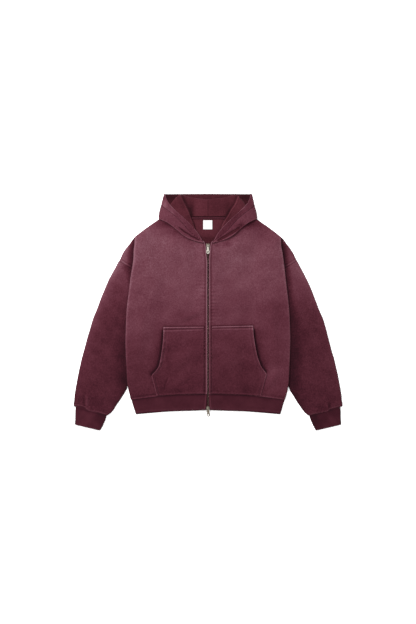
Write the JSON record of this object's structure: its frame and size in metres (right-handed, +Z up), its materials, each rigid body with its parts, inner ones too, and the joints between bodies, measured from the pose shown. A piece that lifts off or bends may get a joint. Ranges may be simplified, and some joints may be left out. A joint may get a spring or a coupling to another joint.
{
  "type": "zip up hoodie",
  "caption": "Adult zip up hoodie of heavy washed fleece, laid flat with its front up, with a split kangaroo pocket, ribbed cuffs and hem band, and the hood lying open behind the neck.",
  "frame": {"origin": "The middle of the garment's width and length, at the level of the surface it lies on.", "axes": "+X is the wearer's left, across the garment; +Y runs from the hem to the hood; +Z is up, out of the front."},
  "size_m": [0.9914, 0.8736, 0.0197],
  "materials": {
    "washed_fleece": "heavy cotton fleece, garment dyed wine red and washed, faded unevenly",
    "hood_fleece": "the same fleece, outer side of the hood",
    "inner_fleece": "inner side of the hood, darker and redder",
    "rib_knit": "double rib knit, dark",
    "tape_cloth": "flat woven tape",
    "label_cloth": "bare white woven label",
    "zip_metal": "dark antique teeth",
    "nickel": "antique nickel"
  },
  "bodies": {
    "garment": {"back_panel": "washed_fleece", "front_left": "washed_fleece", "front_right": "washed_fleece", "shoulder_left": "washed_fleece", "shoulder_right": "washed_fleece", "sleeve_left": "washed_fleece", "sleeve_right": "washed_fleece", "pocket_left": "washed_fleece", "pocket_right": "washed_fleece", "cuff_left": "rib_knit", "cuff_right": "rib_knit", "hem_band": "rib_knit", "hood_left": "hood_fleece", "hood_right": "hood_fleece", "hood_lining_left": "inner_fleece", "hood_lining_right": "inner_fleece", "neck_tape": "tape_cloth", "label": "label_cloth", "zip_tape_left": "tape_cloth", "zip_tape_right": "tape_cloth", "zip_chain": "zip_metal", "slider_top": "nickel", "slider_bottom": "nickel"},
    "pull_tab_top": {"pull_top": "nickel"},
    "pull_tab_bottom": {"pull_bottom": "nickel"}
  },
  "joints": [
    {"name": "pull_top_swing", "type": "hinge", "parent": "garment", "child": "pull_tab_top", "pos_m": [0, 0.245, 0.01373], "axis": [-1, 0, 0], "range_deg": [0, 160]},
    {"name": "pull_bottom_swing", "type": "hinge", "parent": "garment", "child": "pull_tab_bottom", "pos_m": [0, -0.3555, 0.0089], "axis": [-1, 0, 0], "range_deg": [0, 165]}
  ]
}
